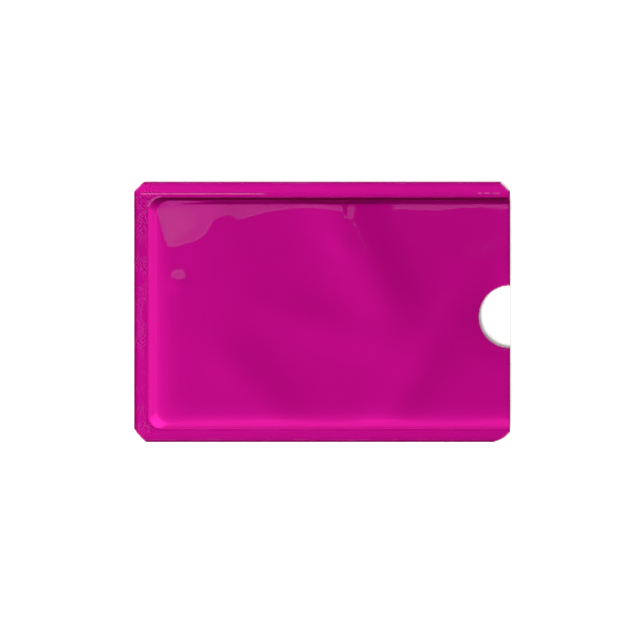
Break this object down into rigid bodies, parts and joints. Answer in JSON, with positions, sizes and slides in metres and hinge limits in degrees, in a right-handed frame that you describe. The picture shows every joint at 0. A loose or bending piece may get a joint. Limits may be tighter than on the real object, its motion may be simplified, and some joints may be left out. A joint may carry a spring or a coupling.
{
  "type": "rfid card sleeve",
  "caption": "Flat foil-laminate sleeve, welded on three sides and open at one end with a round thumb notch, that shields the blank contactless card which slides out of it.",
  "frame": {"origin": "middle of the sleeve's outline, on the surface that the sleeve lies on with the card home", "axes": "+X out of the open mouth along the sleeve's length, +Y to the upper long seam, +Z out of the front face"},
  "size_m": [0.091, 0.063, 0.0013],
  "materials": {
    "film": "high gloss magenta film over bright foil",
    "foil": "bright rolled",
    "liner": "waxy, milky and translucent",
    "weld": "milky, pressed with a fine knurl",
    "card_sheet": "satin white",
    "card_inlay": "matt",
    "coil": "bare copper",
    "chip": "black moulded epoxy"
  },
  "bodies": {
    "sleeve": {"back_film": "film", "front_film": "film", "back_foil": "foil", "front_foil": "foil", "back_liner": "liner", "front_liner": "liner", "front_liner_end": "liner", "front_liner_upper": "liner", "front_liner_lower": "liner", "end_weld": "weld", "upper_weld": "weld", "lower_weld": "weld"},
    "card": {"card_back_sheet": "card_sheet", "card_front_sheet": "card_sheet", "card_inlay": "card_inlay", "card_coil": "coil", "card_chip": "chip"}
  },
  "joints": [
    {"name": "card_slide", "type": "slide", "parent": "sleeve", "child": "card", "axis": [1, 0, 0], "range_m": [0, 0.0866]}
  ]
}
